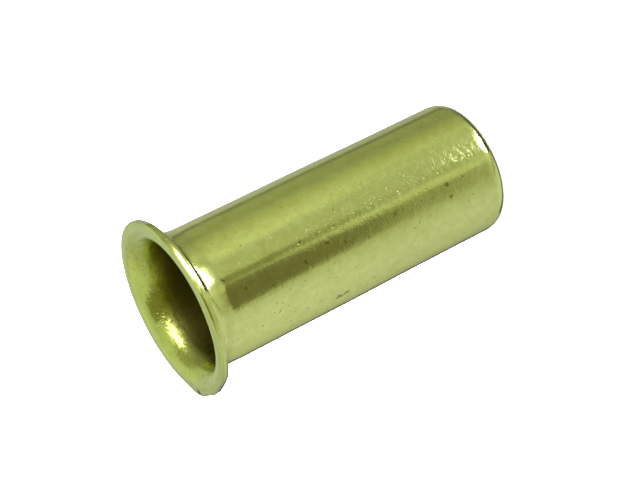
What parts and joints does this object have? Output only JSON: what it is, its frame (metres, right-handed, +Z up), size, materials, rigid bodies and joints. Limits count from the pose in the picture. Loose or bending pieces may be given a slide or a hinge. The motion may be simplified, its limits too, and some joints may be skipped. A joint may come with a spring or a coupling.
{
  "type": "tube insert",
  "caption": "Thin drawn brass sleeve with a flared flange at its mouth and a rolled nose, pushed into the end of a plastic tube to stiffen it inside a compression fitting.",
  "frame": {"origin": "centre of the nose's flat end, which it stands on", "axes": "+Z up the axis from the nose to the flange; X and Y are any two radii, as the part is round"},
  "size_m": [0.0084, 0.0084, 0.0162],
  "materials": {
    "brass": "bright drawn brass, greenish yellow, with fine drawing marks, pits and handling scratches"
  },
  "bodies": {
    "root": {"tube_insert": "brass"}
  },
  "joints": []
}
